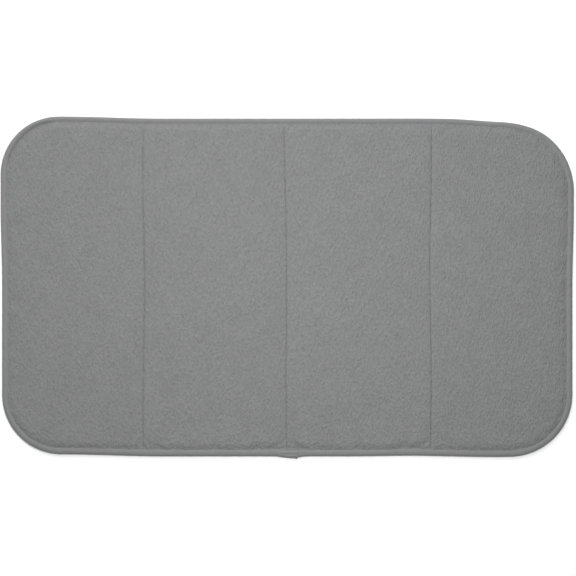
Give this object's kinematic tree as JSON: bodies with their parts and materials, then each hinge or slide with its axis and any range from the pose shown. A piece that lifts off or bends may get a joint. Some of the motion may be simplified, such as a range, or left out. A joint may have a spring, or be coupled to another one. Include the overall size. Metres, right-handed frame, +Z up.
{
  "type": "bath mat",
  "caption": "Thin padded bath mat with rounded corners and a bound edge; stitched seams across it let it fold up flat.",
  "frame": {"origin": "centre of the mat's underside, on the floor", "axes": "+X along the mat's length, +Y across it, +Z up from the floor through the face cloth; the binding's lapped end is on the -Y edge"},
  "size_m": [0.864, 0.512, 0.008],
  "materials": {
    "face_cloth": "short matt grey pile with a faint diamond grain",
    "foam": "open-cell foam, off-white",
    "backing_cloth": "knitted grip cloth with small rubber dots",
    "binding_tape": "smooth woven tape, soft sheen",
    "thread": "polyester sewing thread"
  },
  "bodies": {
    "left_end_panel": {"backing_cloth_left_end": "backing_cloth", "foam_core_left_end": "foam", "face_cloth_left_end": "face_cloth", "binding_left_end": "binding_tape", "binding_needle_thread_left_end": "thread", "binding_bobbin_thread_left_end": "thread"},
    "left_middle_panel": {"backing_cloth_left_middle": "backing_cloth", "foam_core_left_middle": "foam", "face_cloth_left_middle": "face_cloth", "binding_back_left_middle": "binding_tape", "binding_needle_thread_back_left_middle": "thread", "binding_bobbin_thread_back_left_middle": "thread", "binding_front_left_middle": "binding_tape", "binding_needle_thread_front_left_middle": "thread", "binding_bobbin_thread_front_left_middle": "thread", "needle_thread_left_end_fold": "thread", "bobbin_thread_left_end_fold": "thread", "needle_thread_centre_fold": "thread", "bobbin_thread_centre_fold": "thread"},
    "right_middle_panel": {"backing_cloth_right_middle": "backing_cloth", "foam_core_right_middle": "foam", "face_cloth_right_middle": "face_cloth", "binding_back_right_middle": "binding_tape", "binding_needle_thread_back_right_middle": "thread", "binding_bobbin_thread_back_right_middle": "thread", "binding_front_right_middle": "binding_tape", "binding_needle_thread_front_right_middle": "thread", "binding_bobbin_thread_front_right_middle": "thread", "binding_lap": "binding_tape", "needle_thread_right_end_fold": "thread", "bobbin_thread_right_end_fold": "thread"},
    "right_end_panel": {"backing_cloth_right_end": "backing_cloth", "foam_core_right_end": "foam", "face_cloth_right_end": "face_cloth", "binding_right_end": "binding_tape", "binding_needle_thread_right_end": "thread", "binding_bobbin_thread_right_end": "thread"}
  },
  "joints": [
    {"name": "left_end_fold", "type": "hinge", "parent": "left_middle_panel", "child": "left_end_panel", "pos_m": [-0.217, 0, 0.0083], "axis": [0, 1, 0], "range_deg": [0, 180]},
    {"name": "centre_fold", "type": "hinge", "parent": "left_middle_panel", "child": "right_middle_panel", "pos_m": [0, 0, 0.0169], "axis": [0, -1, 0], "range_deg": [0, 180]},
    {"name": "right_end_fold", "type": "hinge", "parent": "right_middle_panel", "child": "right_end_panel", "pos_m": [0.217, 0, 0.0083], "axis": [0, -1, 0], "range_deg": [0, 180]}
  ]
}
